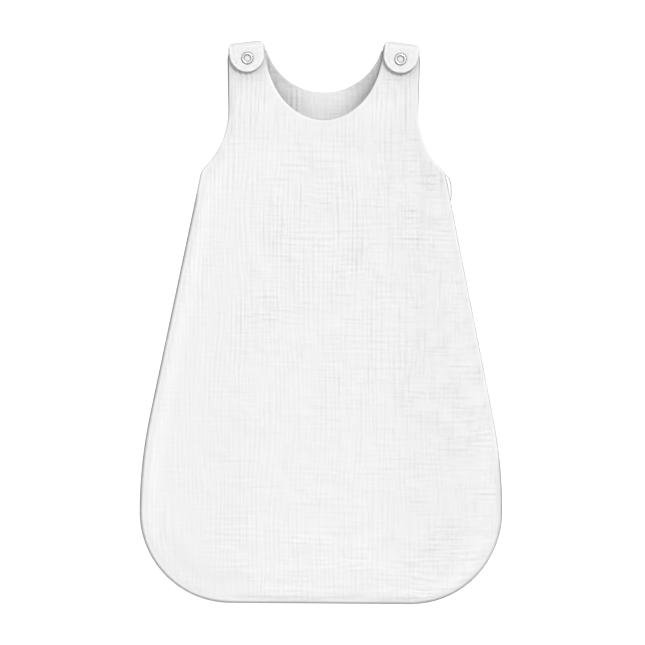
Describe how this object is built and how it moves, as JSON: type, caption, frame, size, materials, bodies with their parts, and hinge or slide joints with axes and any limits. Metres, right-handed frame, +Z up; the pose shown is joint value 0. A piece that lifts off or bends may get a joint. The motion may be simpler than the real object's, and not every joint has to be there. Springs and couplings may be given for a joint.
{
  "type": "baby sleeping bag",
  "caption": "Sleeveless quilted muslin sleeping bag for a baby, lying flat, with snap tabs on the shoulders and a side zip.",
  "frame": {"origin": "on the face the bag rests on, in the middle of its length and width", "axes": "+Y towards the head, +Z up out of the front, +X towards the side with the zip"},
  "size_m": [0.45, 0.7001, 0.0466],
  "materials": {
    "muslin": "crinkled double-gauze cotton",
    "lining": "soft cotton muslin",
    "wadding": "needled polyester filling",
    "binding": "folded cotton strip",
    "label_cloth": "smooth woven satin",
    "snap_metal": "nickel-free pale plating",
    "zip_tape": "woven polyester",
    "zip_plastic": "moulded acetal",
    "slider_metal": "enamelled"
  },
  "bodies": {
    "root": {"front_outer": "muslin", "front_wadding": "wadding", "front_lining": "lining", "back_outer": "muslin", "back_wadding": "wadding", "back_lining": "lining", "seam_binding": "binding", "care_label": "label_cloth", "snap_studs": "snap_metal", "snap_back_rings": "snap_metal", "strap_reinforcements": "wadding", "zip_tape_front": "zip_tape", "zip_tape_back": "zip_tape", "zip_teeth_front": "zip_plastic", "zip_teeth_back": "zip_plastic", "zip_top_stops": "zip_plastic", "zip_bottom_stop": "zip_plastic", "zip_underlap": "lining", "armpit_guard": "muslin"},
    "shoulder_tab_right": {"tab_outer_right": "muslin", "tab_stiffener_right": "wadding", "tab_lining_right": "lining", "snap_ring_right": "snap_metal", "snap_socket_right": "snap_metal", "snap_spring_right": "snap_metal"},
    "shoulder_tab_left": {"tab_outer_left": "muslin", "tab_stiffener_left": "wadding", "tab_lining_left": "lining", "snap_ring_left": "snap_metal", "snap_socket_left": "snap_metal", "snap_spring_left": "snap_metal"},
    "zip_slider": {"zip_slider": "slider_metal"},
    "zip_pull": {"zip_pull": "slider_metal"}
  },
  "joints": [
    {"name": "shoulder_tab_right_fold", "type": "hinge", "parent": "root", "child": "shoulder_tab_right", "pos_m": [0.0977, 0.3475, 0.0086], "axis": [-0.9925, 0.1219, 0], "range_deg": [0, 170]},
    {"name": "shoulder_tab_left_fold", "type": "hinge", "parent": "root", "child": "shoulder_tab_left", "pos_m": [-0.0977, 0.3475, 0.0086], "axis": [-0.9925, -0.1219, 0], "range_deg": [0, 170]},
    {"name": "zip_slide", "type": "slide", "parent": "root", "child": "zip_slider", "axis": [0.1994, -0.9799, 0], "range_m": [0, 0.239], "deforming": ["zip_teeth_front", "zip_teeth_back"]},
    {"name": "zip_pull_swing", "type": "hinge", "parent": "zip_slider", "child": "zip_pull", "pos_m": [0.1595, 0.14186, 0.01], "axis": [0, 0, 1], "range_deg": [0, 135]}
  ]
}
